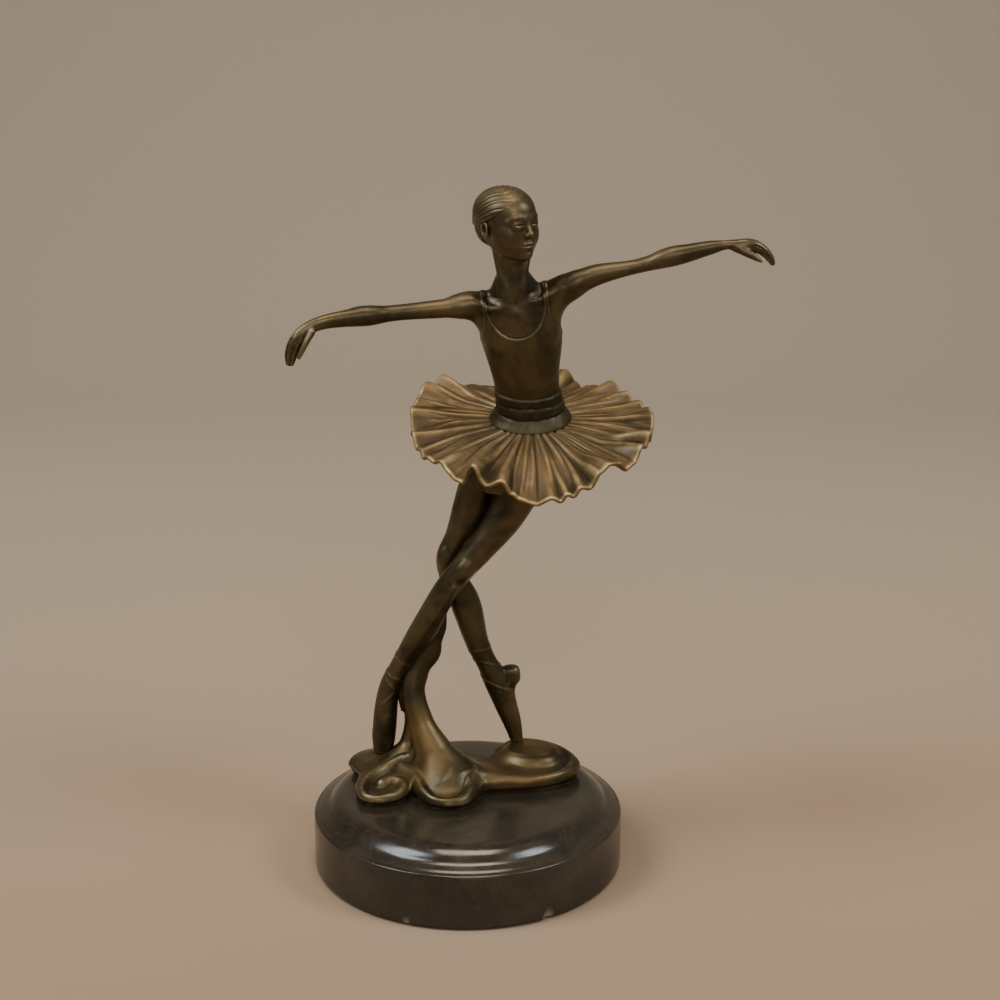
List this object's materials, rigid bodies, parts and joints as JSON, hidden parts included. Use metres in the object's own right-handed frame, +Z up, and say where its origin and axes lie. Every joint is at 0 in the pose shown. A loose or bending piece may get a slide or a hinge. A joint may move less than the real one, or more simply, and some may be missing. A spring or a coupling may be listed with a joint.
{
  "type": "bronze statuette",
  "caption": "Cast bronze dancer on pointe with outstretched arms and pleated tutu, standing on a scrolled ground casting bolted to a round turned marble base.",
  "frame": {"origin": "centre of the underside of the felt pad, on the surface that the statuette stands on", "axes": "+Z up; -Y towards the viewer, the side that the dancer's chest faces; +X towards the dancer's left hand"},
  "size_m": [0.1757, 0.12, 0.2637],
  "materials": {
    "bronze": "dark brown patinated cast bronze, rubbed golden on the high spots, satin",
    "golden_bronze": "warm golden brown patinated cast bronze, bright along the edges, satin",
    "marble": "polished very dark grey brown marble",
    "felt": "dark felt",
    "dowel_brass": "plain drawn brass",
    "steel": "zinc plated steel"
  },
  "bodies": {
    "root": {"ground_casting": "bronze", "left_leg": "bronze", "right_leg": "bronze", "pelvis": "bronze", "torso": "bronze", "head": "bronze", "left_arm": "bronze", "right_arm": "bronze", "waist_sash": "bronze", "skirt": "golden_bronze", "marble_base": "marble", "felt_pad": "felt", "waist_dowel": "dowel_brass", "neck_dowel": "dowel_brass", "left_shoulder_dowel": "dowel_brass", "right_shoulder_dowel": "dowel_brass", "left_hip_dowel": "dowel_brass", "right_hip_dowel": "dowel_brass", "left_toe_dowel": "dowel_brass", "right_toe_dowel": "dowel_brass", "stud_front": "steel", "washer_front": "steel", "nut_front": "steel", "stud_rear": "steel", "washer_rear": "steel", "nut_rear": "steel"}
  },
  "joints": []
}
